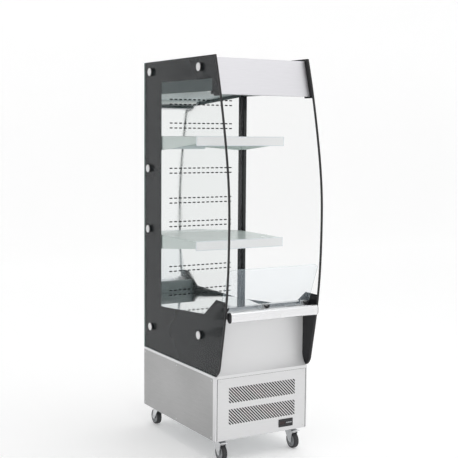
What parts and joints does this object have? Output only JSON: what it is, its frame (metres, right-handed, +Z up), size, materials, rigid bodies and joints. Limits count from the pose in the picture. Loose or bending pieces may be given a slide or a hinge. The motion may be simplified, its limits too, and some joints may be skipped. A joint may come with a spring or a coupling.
{
  "type": "open-front refrigerated display case",
  "caption": "Slim open-front refrigerated display case with curved side glass, lift-off shelves, a low front glass, a bumper bar and a castored machine base.",
  "frame": {"origin": "on the floor under the middle of the case's bounding box", "axes": "+Z up, the open front faces -Y, +X to the right of somebody facing the front"},
  "size_m": [0.513, 0.8448, 1.828],
  "materials": {
    "clear_glass": "clear float glass",
    "printed_black": "gloss black ceramic print behind glass",
    "black_rubber": "matt",
    "black_plastic": "fine grained",
    "satin_steel": "brushed",
    "polished_steel": "polished nearly to a mirror",
    "foam_core": "steel faced foam",
    "grey_paint": "satin grey",
    "light_paint": "satin light grey",
    "bright_aluminium": "bright anodised",
    "label_plastic": "clear bluish white",
    "fin_aluminium": "thin fins",
    "black_paint": "gloss black",
    "copper_tube": "copper",
    "galvanised": "galvanised",
    "zinc_steel": "bright zinc",
    "wheel_rubber": "dark grey tread",
    "diffuser": "opal",
    "white_plastic": "white",
    "grey_plastic": "light grain"
  },
  "bodies": {
    "cabinet": {"base_corner_posts": "satin_steel", "base_floor": "galvanised", "base_rear_panel": "grey_paint", "base_sides": "grey_paint", "body_rail": "satin_steel", "bumper_bar": "bright_aluminium", "bumper_end_caps": "black_plastic", "canopy_ceiling": "light_paint", "canopy_shell": "grey_paint", "castor_plates": "zinc_steel", "compressor": "black_paint", "compressor_grommets": "black_rubber", "condenser_coil": "fin_aluminium", "condenser_shroud": "galvanised", "controller": "black_plastic", "duct_panel": "polished_steel", "electrical_box": "grey_plastic", "evaporation_tray": "grey_plastic", "evaporator_coil": "fin_aluminium", "evaporator_fan_plate": "galvanised", "fan_motors": "black_paint", "fixing_discs": "satin_steel", "fixing_spacers": "black_plastic", "front_brackets": "satin_steel", "front_glass": "clear_glass", "front_panel": "satin_steel", "glass_borders": "printed_black", "glass_edge_trims": "black_rubber", "grille_panel": "satin_steel", "header_fascia": "satin_steel", "honeycomb_outlet": "white_plastic", "lamp": "diffuser", "power_inlet": "black_plastic", "rear_wall": "foam_core", "refrigerant_pipes": "copper_tube", "shelf_posts": "satin_steel", "side_glass_left": "clear_glass", "side_glass_right": "clear_glass", "tub": "foam_core"},
    "deck": {"deck_plate": "polished_steel"},
    "upper_shelf": {"shelf_upper": "light_paint", "ticket_strip_upper": "label_plastic"},
    "lower_shelf": {"shelf_lower": "light_paint", "ticket_strip_lower": "label_plastic"},
    "evaporator_fan": {"evaporator_fan": "black_plastic"},
    "condenser_fan": {"condenser_fan": "black_plastic"},
    "rocker": {"mains_rocker": "grey_plastic"},
    "key_1": {"controller_key_1": "grey_plastic"},
    "key_2": {"controller_key_2": "grey_plastic"},
    "key_3": {"controller_key_3": "grey_plastic"},
    "fork_fl": {"castor_fork_fl": "zinc_steel"},
    "wheel_fl": {"castor_wheel_fl": "wheel_rubber"},
    "fork_fr": {"castor_fork_fr": "zinc_steel"},
    "wheel_fr": {"castor_wheel_fr": "wheel_rubber"},
    "fork_rl": {"castor_fork_rl": "zinc_steel"},
    "wheel_rl": {"castor_wheel_rl": "wheel_rubber"},
    "fork_rr": {"castor_fork_rr": "zinc_steel"},
    "wheel_rr": {"castor_wheel_rr": "wheel_rubber"},
    "brake_fl": {"castor_brake_fl": "zinc_steel"},
    "brake_fr": {"castor_brake_fr": "zinc_steel"}
  },
  "joints": [
    {"name": "deck_lift", "type": "slide", "parent": "cabinet", "child": "deck", "axis": [0, 0, 1], "range_m": [0, 0.12]},
    {"name": "upper_shelf_lift", "type": "slide", "parent": "cabinet", "child": "upper_shelf", "axis": [0, 0, 1], "range_m": [0, 0.007]},
    {"name": "lower_shelf_lift", "type": "slide", "parent": "cabinet", "child": "lower_shelf", "axis": [0, 0, 1], "range_m": [0, 0.007]},
    {"name": "evaporator_fan_spin", "type": "hinge", "parent": "cabinet", "child": "evaporator_fan", "pos_m": [0, -0.1436, 0.53], "axis": [0, 1, 0], "continuous": true},
    {"name": "condenser_fan_spin", "type": "hinge", "parent": "cabinet", "child": "condenser_fan", "pos_m": [0, -0.2073, 0.272], "axis": [0, 1, 0], "continuous": true},
    {"name": "mains_rocker_tilt", "type": "hinge", "parent": "cabinet", "child": "rocker", "pos_m": [0.144, 0.4159, 0.162], "axis": [1, 0, 0], "range_deg": [-14, 0]},
    {"name": "key_1_press", "type": "slide", "parent": "cabinet", "child": "key_1", "axis": [0, 1, 0], "range_m": [0, 0.0008], "stiffness_N_per_m": 400},
    {"name": "key_2_press", "type": "slide", "parent": "cabinet", "child": "key_2", "axis": [0, 1, 0], "range_m": [0, 0.0008], "stiffness_N_per_m": 400},
    {"name": "key_3_press", "type": "slide", "parent": "cabinet", "child": "key_3", "axis": [0, 1, 0], "range_m": [0, 0.0008], "stiffness_N_per_m": 400},
    {"name": "castor_swivel_fl", "type": "hinge", "parent": "cabinet", "child": "fork_fl", "pos_m": [-0.1955, -0.2556, 0.09], "axis": [0, 0, 1], "continuous": true},
    {"name": "castor_roll_fl", "type": "hinge", "parent": "fork_fl", "child": "wheel_fl", "pos_m": [-0.1955, -0.2806, 0.0375], "axis": [1, 0, 0], "continuous": true},
    {"name": "castor_brake_fl", "type": "hinge", "parent": "fork_fl", "child": "brake_fl", "pos_m": [-0.1955, -0.2926, 0.082], "axis": [1, 0, 0], "range_deg": [0, 14]},
    {"name": "castor_swivel_fr", "type": "hinge", "parent": "cabinet", "child": "fork_fr", "pos_m": [0.1955, -0.2556, 0.09], "axis": [0, 0, 1], "continuous": true},
    {"name": "castor_roll_fr", "type": "hinge", "parent": "fork_fr", "child": "wheel_fr", "pos_m": [0.1955, -0.2806, 0.0375], "axis": [1, 0, 0], "continuous": true},
    {"name": "castor_brake_fr", "type": "hinge", "parent": "fork_fr", "child": "brake_fr", "pos_m": [0.1955, -0.2926, 0.082], "axis": [1, 0, 0], "range_deg": [0, 14]},
    {"name": "castor_swivel_rl", "type": "hinge", "parent": "cabinet", "child": "fork_rl", "pos_m": [-0.1955, 0.3586, 0.09], "axis": [0, 0, 1], "continuous": true},
    {"name": "castor_roll_rl", "type": "hinge", "parent": "fork_rl", "child": "wheel_rl", "pos_m": [-0.1955, 0.3836, 0.0375], "axis": [1, 0, 0], "continuous": true},
    {"name": "castor_swivel_rr", "type": "hinge", "parent": "cabinet", "child": "fork_rr", "pos_m": [0.1955, 0.3586, 0.09], "axis": [0, 0, 1], "continuous": true},
    {"name": "castor_roll_rr", "type": "hinge", "parent": "fork_rr", "child": "wheel_rr", "pos_m": [0.1955, 0.3836, 0.0375], "axis": [1, 0, 0], "continuous": true}
  ]
}
